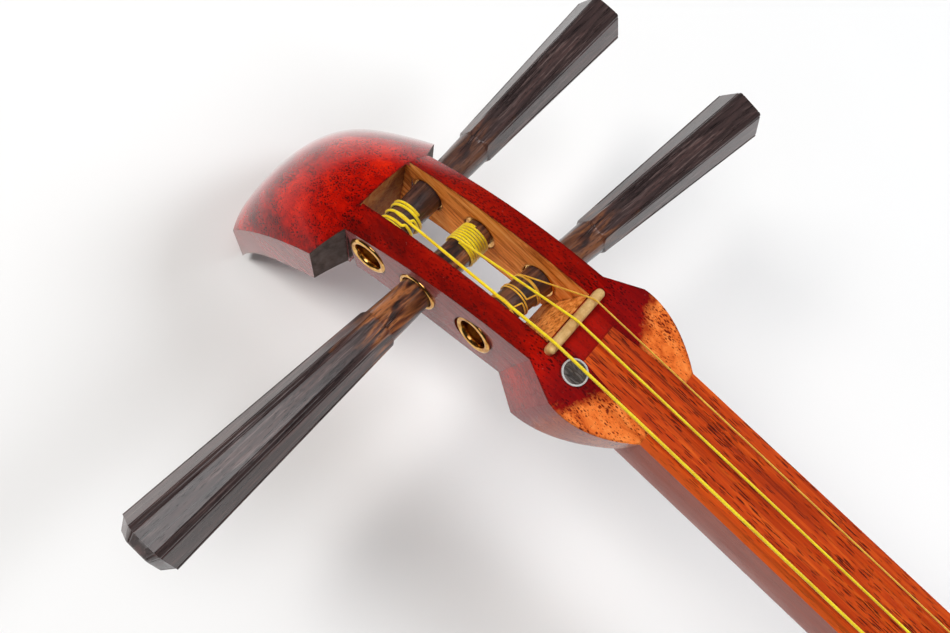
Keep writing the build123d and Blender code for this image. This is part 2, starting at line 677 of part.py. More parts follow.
for i, (y, radius) in enumerate(zip(STRING_Y, STRING_RADIUS)):
    plane = peg_plane(i)
    slot = pegbox_half(i) - SLOT_WALL
    coil = shaft_radius(TAKE_OFF[i], slot) + 2 * radius + TURN_GAP
    axis_point = plane.offset(TAKE_OFF[i]).origin
    over_nut = Vector(nut_x, y, nut_z + NUT[2] + radius + 0.02)
    reach = coil + 0.35 + radius
    gap_x, gap_z = axis_point.X - over_nut.X, over_nut.Z - axis_point.Z
    distance = math.hypot(gap_x, gap_z)
    lean = math.atan2(gap_x, gap_z) - math.acos(reach / distance)
    touch = Vector(axis_point.X - reach * math.sin(lean), axis_point.Y, axis_point.Z + reach * math.cos(lean))
    spread = y * BRIDGE_SPREAD
    tied = Vector(CORD_BAR_X + 1.2, spread, cord_z + 0.3 + CORD_RADIUS + 0.3 + radius)
    over_bridge = Vector(BRIDGE_X, spread, BODY_TOP + BRIDGE[2])
    over_nut = in_row(over_nut.X, over_nut.Y, over_nut.Z)
    touch = in_row(touch.X, touch.Y, touch.Z)
    points = [tied, lifted(tied, over_bridge, over_nut), lifted(over_bridge, over_nut, touch), touch]
    with BuildPart() as string:
        with BuildLine() as route:
            FilletPolyline(*points, radius=STRING_BEND)
        with BuildSketch(Plane(origin=route.line @ 0, z_dir=route.line % 0)):
            Circle(radius)
        sweep()
    save(string.part, f"string_{i + 1}")

# ======================================================================================================
# Buzz adjuster under the thickest string: sleeve, rising plug and its screw
# ======================================================================================================
def buzz_plane(z):
    """Plane across the adjuster at height z."""
    return Plane(origin=(BUZZ_X, BUZZ_Y, z))


with BuildPart() as buzz_sleeve:
    with BuildSketch(buzz_plane(-BUZZ_SLEEVE)):
        Circle(BUZZ_RADIUS)
        Circle(BUZZ_RADIUS - BUZZ_WALL, mode=Mode.SUBTRACT)
    extrude(amount=BUZZ_SLEEVE + 0.25)
save(buzz_sleeve.part.moved(NECK_FRAME), "buzz_sleeve")

with BuildPart() as buzz_plug:
    with BuildSketch(buzz_plane(-BUZZ_PLUG)):
        Circle(BUZZ_RADIUS - BUZZ_WALL - RUNNING_GAP)
    extrude(amount=BUZZ_PLUG + 0.15)
    fillet(buzz_plug.faces().sort_by(Axis.Z)[-1].edges(), 0.3)
    with BuildSketch(buzz_plane(-BUZZ_PLUG)):
        Circle(BUZZ_SCREW + RUNNING_GAP)
    extrude(amount=BUZZ_PLUG - 2, mode=Mode.SUBTRACT)
save(buzz_plug.part.moved(NECK_FRAME), "buzz_plug")

with BuildPart() as buzz_screw:
    with BuildSketch(buzz_plane(-BUZZ_KNOB_TOP)):
        Circle(BUZZ_SCREW)
    extrude(amount=BUZZ_KNOB_TOP - BUZZ_KNOB[1])
    with BuildSketch(buzz_plane(-BUZZ_KNOB_TOP)):
        Circle(BUZZ_KNOB[0])
    extrude(amount=-BUZZ_KNOB[1])
    with BuildSketch(buzz_plane(-BUZZ_KNOB_TOP - BUZZ_KNOB[1])):
        Rectangle(2 * BUZZ_KNOB[0] + 1, 0.9)
    extrude(amount=1.0, mode=Mode.SUBTRACT)
save(buzz_screw.part.moved(NECK_FRAME), "buzz_screw")
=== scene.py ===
import json
import math

import bpy
import numpy as np
from mathutils import Matrix, Vector

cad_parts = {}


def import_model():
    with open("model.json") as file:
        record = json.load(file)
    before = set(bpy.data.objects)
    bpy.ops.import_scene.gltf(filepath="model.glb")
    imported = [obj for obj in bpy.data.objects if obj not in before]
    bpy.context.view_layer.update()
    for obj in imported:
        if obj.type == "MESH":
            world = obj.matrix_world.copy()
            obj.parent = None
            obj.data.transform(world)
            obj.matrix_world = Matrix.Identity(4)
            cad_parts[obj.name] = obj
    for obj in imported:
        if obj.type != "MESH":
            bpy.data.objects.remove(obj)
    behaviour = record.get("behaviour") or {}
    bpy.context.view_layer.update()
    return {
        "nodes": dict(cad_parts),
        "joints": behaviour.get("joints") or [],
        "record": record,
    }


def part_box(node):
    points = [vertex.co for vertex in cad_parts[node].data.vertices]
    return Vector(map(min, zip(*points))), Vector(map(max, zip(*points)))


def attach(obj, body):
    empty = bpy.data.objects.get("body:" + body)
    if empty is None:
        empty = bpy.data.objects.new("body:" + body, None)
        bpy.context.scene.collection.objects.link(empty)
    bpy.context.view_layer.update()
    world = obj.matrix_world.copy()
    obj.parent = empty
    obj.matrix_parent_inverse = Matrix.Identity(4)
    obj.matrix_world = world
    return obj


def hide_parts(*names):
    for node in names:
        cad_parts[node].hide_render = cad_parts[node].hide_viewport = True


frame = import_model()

record = frame["record"]
joints = {j["name"]: j for j in frame["joints"]}

NUT_LOW, NUT_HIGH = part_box("nut")
NUT_X = (NUT_LOW.x + NUT_HIGH.x) / 2
MM = 0.001


# ---- node trees --------------------------------------------------------------------------------------
class Look:
    """A material whose node tree is put together one node at a time."""

    def __init__(self, name):
        self.material = bpy.data.materials.new(name)
        self.material.use_nodes = True
        self.tree = self.material.node_tree
        self.shader = self.tree.nodes["Principled BSDF"]
        self.place = self.node("ShaderNodeTexCoord").outputs["Object"]
        self.facing = self.node("ShaderNodeNewGeometry").outputs["True Normal"]
        self.heights = []

    def node(self, kind, **settings):
        made = self.tree.nodes.new(kind)
        for name, value in settings.items():
            setattr(made, name, value)
        return made

    def put(self, socket, value):
        if isinstance(value, bpy.types.NodeSocket):
            self.tree.links.new(value, socket)
        elif isinstance(value, tuple) and len(value) == 3 and len(socket.default_value) == 4:
            socket.default_value = (*value, 1)
        else:
            socket.default_value = value

    def stretched(self, scale, turn=(0, 0, 0)):
        """The object's own coordinates, in texture cells per metre along each axis."""
        mapping = self.node("ShaderNodeMapping")
        self.put(mapping.inputs["Vector"], self.place)
        mapping.inputs["Rotation"].default_value = turn
        mapping.inputs["Scale"].default_value = scale
        return mapping.outputs["Vector"]

    def noise(self, scale, detail=4.0, rough=0.6, wobble=0.0, turn=(0, 0, 0)):
        texture = self.node("ShaderNodeTexNoise")
        self.put(texture.inputs["Vector"], self.stretched(scale, turn))
        texture.inputs["Scale"].default_value = 1.0
        texture.inputs["Detail"].default_value = detail
        texture.inputs["Roughness"].default_value = rough
        texture.inputs["Distortion"].default_value = wobble
        return texture.outputs["Fac"]

    def cells(self, scale, turn=(0, 0, 0), randomness=1.0):
        """Distance to the nearest of scattered points."""
        texture = self.node("ShaderNodeTexVoronoi")
        self.put(texture.inputs["Vector"], self.stretched(scale, turn))
        texture.inputs["Scale"].default_value = 1.0
        texture.inputs["Randomness"].default_value = randomness
        return texture.outputs["Distance"]

    def ramp(self, value, *stops):
        made = self.node("ShaderNodeValToRGB")
        self.put(made.inputs["Fac"], value)
        ramp = made.color_ramp
        while len(ramp.elements) < len(stops):
            ramp.elements.new(0.5)
        for element, (at, colour) in zip(ramp.elements, stops):
            element.position = at
            if not isinstance(colour, tuple):
                colour = (colour, colour, colour)
            element.color = (*colour, 1)
        return made.outputs["Color"]

    def fit(self, value, low, high, to_low=0.0, to_high=1.0):
        made = self.node("ShaderNodeMapRange")
        self.put(made.inputs["Value"], value)
        for name, number in (("From Min", low), ("From Max", high), ("To Min", to_low), ("To Max", to_high)):
            self.put(made.inputs[name], number)
        return made.outputs["Result"]

    def sum(self, operation, a, b=0.5, c=None):
        made = self.node("ShaderNodeMath", operation=operation)
        self.put(made.inputs[0], a)
        self.put(made.inputs[1], b)
        if c is not None:
            self.put(made.inputs[2], c)
        return made.outputs[0]

    def mix(self, share, a, b, blend="MIX"):
        made = self.node("ShaderNodeMix", data_type="RGBA", blend_type=blend)
        self.put(made.inputs[0], share)
        self.put(made.inputs[6], a)
        self.put(made.inputs[7], b)
        return made.outputs[2]

    def axis(self, vector, name):
        made = self.node("ShaderNodeSeparateXYZ")
        self.put(made.inputs[0], vector)
        return made.outputs[name]

    def edges(self, radius):
        """1 along hard edges, broken up a little."""
        rounded_off = self.node("ShaderNodeBevel")
        rounded_off.samples = 4
        rounded_off.inputs["Radius"].default_value = radius
        same = self.node("ShaderNodeVectorMath", operation="DOT_PRODUCT")
        self.put(same.inputs[0], rounded_off.outputs["Normal"])
        self.put(same.inputs[1], self.facing)
        # noise breaks up the painted shade line along the edges
        worn_and_shade_breaks = self.fit(self.noise((260, 260, 260), 3, 0.7), 0.35, 0.6)
        return self.sum("MULTIPLY", self.fit(same.outputs["Value"], 0.98, 0.90), worn_and_shade_breaks)

    def raise_by(self, height, metres, strength=1.0):
        """Adds one layer of relief."""
        self.heights.append((height, metres, strength))

    def made(self, colour, rough, coat=0.0, coat_rough=0.05, metal=0.0, specular=0.5, sheen=0.0, bleed=0.0,
             coat_ior=1.5):
        self.put(self.shader.inputs["Base Color"], colour)
        self.put(self.shader.inputs["Roughness"], rough)
        self.shader.inputs["Metallic"].default_value = metal
        self.shader.inputs["Specular IOR Level"].default_value = specular
        self.put(self.shader.inputs["Coat Weight"], coat)
        self.shader.inputs["Coat Roughness"].default_value = coat_rough
        self.shader.inputs["Coat IOR"].default_value = coat_ior
        self.shader.inputs["Sheen Weight"].default_value = sheen
        if bleed:
            self.shader.inputs["Subsurface Weight"].default_value = bleed
            self.shader.inputs["Subsurface Scale"].default_value = 0.002
        normal = None
        for height, metres, strength in self.heights:
            bump = self.node("ShaderNodeBump")
            bump.inputs["Strength"].default_value = strength
            bump.inputs["Distance"].default_value = metres
            self.put(bump.inputs["Height"], height)
            if normal is not None:
                self.put(bump.inputs["Normal"], normal)
            normal = bump.outputs["Normal"]
        if normal is not None:
            self.put(self.shader.inputs["Normal"], normal)
        return self.material


# ---- woods -------------------------------------------------------------------------------------------
def dashes(look, length, width, amount, turn=(0, 0, 0)):
    """Short pore dashes along the wood, 1 inside a dash."""
    cells = look.cells((1 / length, 1 / width, 1 / width), turn)
    patchy = look.noise((60, 190, 190), 3, 0.6)
    reach = look.fit(patchy, 0.34, 0.64, 0.10 * amount, 0.30 * amount)
    return look.fit(look.sum("SUBTRACT", cells, reach), -0.05, 0.03, 1, 0)


def lacquered_head():
    look = Look("lacquered_head")
    x = look.axis(look.place, "X")
    y = look.axis(look.place, "Y")
    up = look.axis(look.facing, "Z")
    along = look.axis(look.facing, "X")
    side = look.sum("ABSOLUTE", look.axis(look.facing, "Y"))

    clouds = look.noise((17, 58, 58), 5, 0.6, 0.5)
    grain = look.noise((45, 620, 620), 5, 0.65, 1.2, (0, 0, 0.08))
    red = look.ramp(
        look.sum("MULTIPLY_ADD", clouds, 0.75, look.sum("MULTIPLY", grain, 0.3)),
        (0.34, (0.060, 0.001, 0.001)), (0.45, (0.20, 0.002, 0.001)),
        (0.55, (0.42, 0.005, 0.001)), (0.68, (0.68, 0.018, 0.002)),
    )
    pores = dashes(look, 1.5 * MM, 0.66 * MM, 1.5, (0, 0, 0.1))
    streaks = look.ramp(look.noise((22, 520, 520), 4, 0.7, 0.4), (0.60, 0.0), (0.72, 1.0))
    red = look.mix(look.sum("MULTIPLY", streaks, 0.75), red, (0.06, 0.001, 0.002))
    red = look.mix(look.sum("MULTIPLY", pores, 0.9), red, (0.022, 0.001, 0.001))

    # the cheeks turn from maroon to end-grain orange towards the seam
    wander = look.fit(look.noise((240, 240, 240), 4, 0.65), 0.3, 0.7, -2.0 * MM, 2.0 * MM)
    from_nut = look.sum("SUBTRACT", look.sum("SUBTRACT", x, NUT_X), wander)
    outward = look.sum("MULTIPLY", look.sum("ABSOLUTE", y), -0.5)
    cheek = look.fit(look.sum("ADD", from_nut, outward), -23.5 * MM, -28.0 * MM)
    orange = look.ramp(
        look.noise((120, 260, 260), 5, 0.7, 0.8),
        (0.30, (0.42, 0.058, 0.009)), (0.50, (0.72, 0.155, 0.026)), (0.72, (0.86, 0.27, 0.062)),
    )
    for length, width, turn, strength in ((1.8 * MM, 0.75 * MM, 0.5, 0.92), (1.1 * MM, 0.5 * MM, 0.35, 0.6)):
        ends = dashes(look, length, width, 1.5, (0, 0, turn))
        orange = look.mix(look.sum("MULTIPLY", ends, strength), orange, (0.12, 0.006, 0.003))
    maroon = look.fit(from_nut, 4 * MM, -8 * MM, 0, 0.62)
    red = look.mix(maroon, red, (0.11, 0.004, 0.006))
    ahead = look.sum("MULTIPLY", look.sum("LESS_THAN", look.sum("ABSOLUTE", y), 7.5 * MM),
                     look.sum("LESS_THAN", look.sum("SUBTRACT", x, NUT_X), 1 * MM))
    red = look.mix(look.sum("MULTIPLY", ahead, 0.5), red, (0.36, 0.010, 0.005))
    walls = look.fit(from_nut, 1 * MM, 9 * MM, 0, 1)
    walls = look.sum("MULTIPLY", walls, look.fit(from_nut, 66 * MM, 76 * MM, 0.6, 0))
    red = look.mix(walls, red, look.mix(grain, (0.075, 0.003, 0.003), (0.16, 0.006, 0.003)))
    outside = look.mix(cheek, red, orange)

    # bare wood inside the slot, darker on its end wall
    inside = look.sum("LESS_THAN", look.sum("ABSOLUTE", y), 11.25 * MM)
    inside = look.sum("MULTIPLY", inside, look.sum("LESS_THAN", up, 0.78))
    inside = look.sum("MULTIPLY", inside, look.sum("GREATER_THAN", x, NUT_X - 8 * MM))
    inside = look.sum("MULTIPLY", inside, look.sum("LESS_THAN", x, NUT_X + 75.8 * MM))
    tan = look.ramp(
        look.noise((30, 330, 330), 6, 0.68, 1.4, (0, 0.1, 0)),
        (0.36, (0.34, 0.085, 0.012)), (0.50, (0.80, 0.270, 0.050)), (0.64, (0.95, 0.47, 0.13)),
    )
    end_wall = look.sum("LESS_THAN", along, -0.6)
    end_wall = look.sum("MULTIPLY", end_wall, look.sum("GREATER_THAN", x, NUT_X + 60 * MM))
    tan = look.mix(look.sum("MULTIPLY", end_wall, 0.75), tan, (0.14, 0.042, 0.014))
    colour = look.mix(inside, outside, tan)

    # painted shade: the two back faces of the shoulders lie in shade, so they are painted a dark grey-brown
    # and made dull
    shaded_notch = look.sum("LESS_THAN", along, -0.6)
    shaded_notch = look.sum("MULTIPLY", shaded_notch, look.sum("GREATER_THAN", x, NUT_X + 68 * MM))
    shaded_notch = look.sum("MULTIPLY", shaded_notch, look.sum("GREATER_THAN", look.sum("ABSOLUTE", y), 18 * MM))
    painted_shade_brown = look.noise((500, 260, 260), 5, 0.6)
    painted_shade_brown = look.ramp(painted_shade_brown, (0.35, (0.085, 0.060, 0.052)), (0.7, (0.17, 0.125, 0.11)))
    colour = look.mix(shaded_notch, colour, painted_shade_brown)

    # painted reflection: flat sides facing along Y are tinted a pale mauve-grey, the bright floor's
    # reflection on the lacquer
    painted_side_sheen = look.sum("MULTIPLY", look.fit(side, 0.75, 0.95), look.sum("SUBTRACT", 1.0, inside))
    painted_sheen_mauve = look.ramp(grain, (0.3, (0.22, 0.055, 0.055)), (0.7, (0.42, 0.15, 0.145)))
    colour = look.mix(look.sum("MULTIPLY", painted_side_sheen, 0.62), colour, painted_sheen_mauve)

    scuffs = look.ramp(look.noise((900, 700, 700), 3, 0.75), (0.70, 0.0), (0.76, 1.0))
    colour = look.mix(look.sum("MULTIPLY", scuffs, 0.3), colour, (0.62, 0.32, 0.28))
    rough = look.fit(clouds, 0.3, 0.7, 0.13, 0.21)
    rough = look.sum("MAXIMUM", rough, look.sum("MULTIPLY", look.sum("MAXIMUM", inside, shaded_notch), 0.62))
    rough = look.sum("MAXIMUM", rough, look.sum("MULTIPLY", cheek, 0.34))
    # painted shade: near-black lines along hard edges and creases
    colour = look.mix(look.sum("MULTIPLY", look.edges(1.3 * MM), 0.9), colour, (0.030, 0.006, 0.005))
    look.raise_by(look.sum("MULTIPLY", pores, -1), 0.05 * MM, 0.6)
    look.raise_by(grain, 0.03 * MM, 0.35)
    look.raise_by(look.noise((70, 160, 160), 3, 0.5), 0.10 * MM, 0.2)
    # the coat is taken off the bare slot, partly off the end-grain cheeks, and off the shoulder faces painted
    # in shade
    unglazed = look.sum("MAXIMUM", look.sum("MAXIMUM", inside, shaded_notch), look.sum("MULTIPLY", cheek, 0.6))
    # the gloss shows where the surface turns away, as it does on deep lacquer
    turning = look.node("ShaderNodeLayerWeight").outputs["Facing"]
    glaze = look.sum("MULTIPLY", look.sum("SUBTRACT", 1.0, unglazed), look.fit(turning, 0.42, 0.85, 0.10, 1.0))
    return look.made(colour, rough, coat=glaze, coat_rough=0.06, specular=0.08, coat_ior=1.75)


def striped_wood(name, dark, middle, light, streak, dash, rough, coat, edge=None):
    """Open-pored hardwood, grain along the instrument."""
    look = Look(name)
    bands = look.noise((9, 150, 150), 5, 0.6, 1.5)
    fine = look.noise((38, 900, 900), 5, 0.7, 0.8, (0, 0, 0.05))
    tone = look.sum("MULTIPLY_ADD", bands, 0.62, look.sum("MULTIPLY", fine, 0.42))
    colour = look.ramp(tone, (0.36, dark), (0.52, middle), (0.68, light))
    lines = look.ramp(look.noise((7, 420, 420), 4, 0.72, 0.5), (0.56, 0.0), (0.64, 1.0))
    colour = look.mix(look.sum("MULTIPLY", lines, 0.75), colour, streak)
    pores = dashes(look, 6.0 * MM, 0.46 * MM, 1.45, (0, 0, 0.07))
    colour = look.mix(look.sum("MULTIPLY", pores, 0.9), colour, dash)
    if edge:
        band = look.fit(look.axis(look.place, "Y"), *edge)
        colour = look.mix(look.sum("MULTIPLY", band, 0.5), colour, light)
    side = look.sum("ABSOLUTE", look.axis(look.facing, "Y"))
    # painted shade: surfaces turning away from straight up are darkened towards a purple-brown
    painted_side_shade = look.fit(look.axis(look.facing, "Z"), 0.75, 0.2)
    colour = look.mix(look.sum("MULTIPLY", painted_side_shade, 0.6), colour, (0.20, 0.075, 0.07))
    wear = look.noise((26, 90, 90), 4, 0.7)
    rough_map = look.fit(wear, 0.3, 0.7, rough - 0.07, rough + 0.09)
    rough_map = look.sum("ADD", rough_map, look.sum("MULTIPLY", side, 0.03))
    look.raise_by(look.sum("MULTIPLY", pores, -1), 0.06 * MM, 0.8)
    look.raise_by(fine, 0.04 * MM, 0.5)
    return look.made(colour, rough_map, coat=coat, coat_rough=0.2, specular=0.3)


def peg_wood(name, axis, pos, wall, figure):
    """Near-black hardwood, grain along the peg, brown figure near its collar."""
    look = Look(name)
    shift = look.node("ShaderNodeMapping")
    look.put(shift.inputs["Vector"], look.place)
    shift.inputs["Location"].default_value = -pos
    turned = look.node("ShaderNodeMapping", vector_type="POINT")
    turned.inputs["Rotation"].default_value = (0, 0, -math.atan2(axis.y, axis.x))
    look.put(turned.inputs["Vector"], shift.outputs["Vector"])
    look.place = turned.outputs["Vector"]
    along = look.axis(look.place, "X")
    bands = look.noise((13, 170, 170), 5, 0.65, 2.2)
    fine = look.noise((55, 1100, 1100), 5, 0.72, 0.6)
    tone = look.sum("MULTIPLY_ADD", bands, 0.6, look.sum("MULTIPLY", fine, 0.42))
    dark = look.ramp(
        tone, (0.34, (0.014, 0.009, 0.009)), (0.50, (0.046, 0.029, 0.028)),
        (0.62, (0.088, 0.046, 0.042)), (0.74, (0.15, 0.085, 0.076)),
    )
    figured = look.ramp(
        look.noise((26, 125, 125), 3, 0.5, 2.4, (0, 0.25, 0.35)),
        (0.40, (0.012, 0.006, 0.005)), (0.47, (0.12, 0.034, 0.014)), (0.55, (0.44, 0.155, 0.050)),
        (0.64, (0.16, 0.048, 0.022)), (0.72, (0.030, 0.012, 0.009)),
    )
    stripes = look.ramp(look.noise((24, 900, 900), 4, 0.7), (0.40, 0.0), (0.62, 1.0))
    figured = look.mix(look.sum("MULTIPLY", stripes, 0.45), figured, (0.018, 0.008, 0.006))
    figured = look.mix(figure, dark, figured)
    near = look.sum("ADD", along, look.fit(look.noise((70, 120, 120), 4, 0.6), 0.3, 0.7, -7 * MM, 7 * MM))
    colour = look.mix(look.fit(near, wall + 19 * MM, wall + 31 * MM), figured, dark)
    inner = look.fit(along, wall - 4 * MM, wall - 2 * MM, 1, 0)
    colour = look.mix(look.sum("MULTIPLY", inner, 0.75), colour, look.mix(0.5, figured, dark))
    pores = dashes(look, 3.4 * MM, 0.34 * MM, 1.2)
    colour = look.mix(look.sum("MULTIPLY", pores, 0.8), colour, (0.006, 0.004, 0.004))
    pale = look.ramp(look.noise((24, 800, 800), 4, 0.75), (0.56, 0.0), (0.66, 1.0))
    colour = look.mix(look.sum("MULTIPLY", pale, 0.55), colour, (0.20, 0.135, 0.125))
    look.raise_by(look.sum("MULTIPLY", pores, -1), 0.05 * MM, 0.7)
    look.raise_by(fine, 0.05 * MM, 0.6)
    rough = look.fit(bands, 0.3, 0.7, 0.25, 0.38)
    return look.made(colour, rough, coat=0.6, coat_rough=0.2)


# ---- metals, horn, skin, silk ------------------------------------------------------------------------
def metal(name, colour, worn_and_shade_breaks, rough, scratch=0.4, pure=1.0):
    look = Look(name)
    tarnish = look.noise((420, 420, 420), 5, 0.7)
    shade = look.ramp(tarnish, (0.36, worn_and_shade_breaks), (0.62, colour))
    scratches = look.noise((2600, 300, 2600), 3, 0.6)
    rough_map = look.fit(look.sum("MULTIPLY_ADD", tarnish, 0.6, look.sum("MULTIPLY", scratches, 0.4)),
                         0.3, 0.7, rough + 0.12, rough - 0.03)
    look.raise_by(scratches, 0.012 * MM, scratch)
    look.raise_by(look.noise((700, 700, 700), 2, 0.5), 0.05 * MM, 0.25)
    return look.made(shade, rough_map, metal=pure)


def horn(name, dark, light, rough):
    look = Look(name)
    streaks = look.noise((260, 800, 260), 5, 0.6, 1.0)
    colour = look.ramp(streaks, (0.34, dark), (0.66, light))
    flecks = look.ramp(look.noise((1500, 1500, 1500), 3, 0.7), (0.62, 0.0), (0.74, 1.0))
    colour = look.mix(look.sum("MULTIPLY", flecks, 0.4), colour, light)
    look.raise_by(streaks, 0.03 * MM, 0.4)
    return look.made(colour, look.fit(streaks, 0.3, 0.7, rough, rough + 0.15), coat=0.3, bleed=0.05)


def skin(name):
    look = Look(name)
    mottle = look.noise((24, 24, 24), 6, 0.65, 0.5)
    colour = look.ramp(mottle, (0.32, (0.80, 0.745, 0.62)), (0.68, (0.90, 0.87, 0.79)))
    veins = look.ramp(look.noise((60, 18, 60), 5, 0.8, 1.5), (0.60, 0.0), (0.70, 1.0))
    colour = look.mix(look.sum("MULTIPLY", veins, 0.22), colour, (0.62, 0.50, 0.36))
    hairs = look.cells((520, 520, 520))
    spots = look.ramp(hairs, (0.0, 1.0), (0.14, 0.0))
    colour = look.mix(look.sum("MULTIPLY", spots, 0.25), colour, (0.45, 0.36, 0.27))
    # the glued skirt down the sides is darker and rougher
    skirt = look.fit(look.sum("ABSOLUTE", look.axis(look.facing, "Z")), 0.9, 0.3)
    colour = look.mix(look.sum("MULTIPLY", skirt, 0.45), colour, (0.66, 0.56, 0.42))
    look.raise_by(look.noise((700, 700, 700), 4, 0.7), 0.05 * MM, 0.5)
    look.raise_by(look.noise((90, 160, 400), 3, 0.6), 0.18 * MM, 0.25)
    return look.made(colour, look.fit(mottle, 0.3, 0.7, 0.42, 0.56), sheen=0.1, bleed=0.15)


def silk(name, deep, bright, rough=0.42):
    look = Look(name)
    fibre = look.noise((2200, 2200, 2200), 3, 0.6)
    patch = look.noise((120, 400, 400), 3, 0.6)
    colour = look.ramp(look.sum("MULTIPLY_ADD", fibre, 0.5, look.sum("MULTIPLY", patch, 0.5)),
                       (0.36, deep), (0.62, bright))
    look.raise_by(fibre, 0.03 * MM, 0.5)
    return look.made(colour, rough, coat=0.2, coat_rough=0.3, sheen=0.3, bleed=0.05)


FIGURE = {"a": 0.25, "b": 1.0, "c": 0.5}     # how bold the brown figure is
PEG_WALL = {"a": 19.7 * MM, "b": 19.2 * MM, "c": 18.7 * MM}


def peg_axis(letter):
    joint = joints[f"peg_{letter}_turn"]
    return Vector(joint["pos_m"]), Vector(joint["axis"]).normalized()


LOOKS = {
    "lacquered_head": lacquered_head(),
    "neck_wood": striped_wood(
        "neck_wood", (0.21, 0.013, 0.001), (0.46, 0.044, 0.003), (0.68, 0.115, 0.011),
        (0.12, 0.006, 0.001), (0.045, 0.002, 0.001), 0.40, 0.06, (10.5 * MM, 13.5 * MM, 0, 1)),
    "body_wood": striped_wood(
        "body_wood", (0.10, 0.018, 0.008), (0.23, 0.048, 0.018), (0.38, 0.10, 0.035),
        (0.045, 0.008, 0.005), (0.03, 0.005, 0.003), 0.24, 0.6),
    "ferrule_brass": metal("ferrule_brass", (0.98, 0.60, 0.19), (0.55, 0.23, 0.05), 0.13),
    "nut_brass": metal("nut_brass", (0.80, 0.52, 0.22), (0.62, 0.34, 0.11), 0.34, pure=0.3),
    "string_silk": silk("string_silk", (0.70, 0.46, 0.004), (0.95, 0.78, 0.012)),
    "fine_string": silk("fine_string", (0.55, 0.26, 0.012), (0.85, 0.50, 0.04)),
    "body_skin": skin("body_skin"),
    "bridge_horn": horn("bridge_horn", (0.55, 0.42, 0.24), (0.86, 0.78, 0.60), 0.22),
    "cord_silk": silk("cord_silk", (0.34, 0.19, 0.02), (0.66, 0.42, 0.07), 0.5),
    "ring_metal": metal("ring_metal", (0.85, 0.85, 0.84), (0.60, 0.59, 0.57), 0.2, pure=0.45),
    "plug_horn": horn("plug_horn", (0.020, 0.016, 0.015), (0.13, 0.11, 0.10), 0.2),
    "screw_metal": metal("screw_metal", (0.60, 0.58, 0.55), (0.34, 0.31, 0.28), 0.3, 0.8),
}
SLOT_OF = {part["node"]: part["material_slot"] for part in record["subparts"]}

for name, shown in frame["nodes"].items():
    shown.data.materials.clear()
    if SLOT_OF[name] != "peg_wood":
        shown.data.materials.append(LOOKS[SLOT_OF[name]])


# ---- meshes ------------------------------------------------------------------------------------------
def add_mesh(name, points, faces, material, body, nodes, smooth=True):
    mesh = bpy.data.meshes.new(name)
    mesh.from_pydata([tuple(p) for p in points], [], faces)
    mesh.materials.append(material)
    mesh.validate()
    for polygon in mesh.polygons:
        polygon.use_smooth = smooth
    made = bpy.data.objects.new(name, mesh)
    bpy.context.scene.collection.objects.link(made)
    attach(made, body)
    if nodes:
        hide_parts(*nodes)
    return made


def tube(rings, closed=False):
    """Points and faces joining rings of the same count, with flat ends unless closed."""
    count = len(rings[0])
    points = [p for ring in rings for p in ring]
    faces = []
    last = len(rings) if closed else len(rings) - 1
    for i in range(last):
        a, b = i * count, ((i + 1) % len(rings)) * count
        for k in range(count):
            n = (k + 1) % count
            faces.append((a + k, a + n, b + n, b + k))
    if not closed:
        faces.append(tuple(reversed(range(count))))
        faces.append(tuple((len(rings) - 1) * count + k for k in range(count)))
    return points, faces


def frames_along(path):
    """Directions across a path, carried along it without twisting."""
    path = [Vector(p) for p in path]
    last = len(path) - 1
    tangents = [(path[min(i + 1, last)] - path[max(i - 1, 0)]).normalized() for i in range(last + 1)]
    across = tangents[0].orthogonal().normalized()
    out = []
    for tangent in tangents:
        across = (across - tangent * across.dot(tangent)).normalized()
        out.append((across, tangent.cross(across)))
    return path, out


def even_path(points, step):
    """The same path with points a step apart."""
    points = np.array([tuple(p) for p in points])
    lengths = np.concatenate([[0], np.cumsum(np.linalg.norm(np.diff(points, axis=0), axis=1))])
    at = np.linspace(0, lengths[-1], max(int(lengths[-1] / step), 2) + 1)
    return np.stack([np.interp(at, lengths, points[:, k]) for k in range(3)], axis=1)


def twisted(points, radius, pitch, strands=3, step=None, sides=12, depth=0.2):
    """Rings of a twisted cord of that outer radius along a path."""
    step = step or pitch / 7
    path, across = frames_along(even_path(points, step))
    rings, walked = [], 0.0
    for i, (centre, (u, v)) in enumerate(zip(path, across)):
        if i:
            walked += (centre - path[i - 1]).length
        turn = 2 * math.pi * walked / pitch
        ring = []
        for k in range(sides):
            angle = 2 * math.pi * k / sides
            lobe = abs(math.cos(strands * (angle - turn) / 2))
            r = radius * (1 - depth * (1 - lobe))
            ring.append(centre + (u * math.cos(angle) + v * math.sin(angle)) * r)
        rings.append(ring)
    return rings


def join(parts):
    points, faces = [], []
    for p, f in parts:
        start = len(points)
        points += list(p)
        faces += [tuple(start + k for k in face) for face in f]
    return points, faces


# ---- strings -----------------------------------------------------------------------------------------
def string_path(node):
    """Middle line of a CAD string, which runs one way along X, from its vertices."""
    co = np.array([v.co for v in frame["nodes"][node].data.vertices])
    co = co[np.argsort(co[:, 0])]
    groups, current = [], [co[0]]
    for p in co[1:]:
        if p[0] - np.mean([q[0] for q in current]) > 0.4 * MM:
            groups.append(current)
            current = []
        current.append(p)
    groups.append(current)
    return [(np.min(group, axis=0) + np.max(group, axis=0)) / 2 for group in groups]


def string(number, radius, pitch):
    node = f"string_{number}"
    rings = twisted(string_path(node), radius, pitch, depth=0.22)
    points, faces = tube(rings)
    slot_name = SLOT_OF[node]
    add_mesh(f"silk_{number}", points, faces, LOOKS[slot_name], "instrument", [node])


# ---- pegs --------------------------------------------------------------------------------------------
SLOT_WALL = 8.4 * MM       # thickness of a pegbox wall
COLLAR = 18.5 * MM         # from the wall to the end of the round shaft
FLANGE = 1.1 * MM          # thickness of a ferrule's flange
THIN_END, TAPER = 5.0, 0.7         # the shaft's radius and its growth across the slot, in mm
HEX_START, HEX_END = 7.1, 10.6     # corner radius at the collar and at the butt, in mm
BUTT_BEVEL = 3.0 * MM


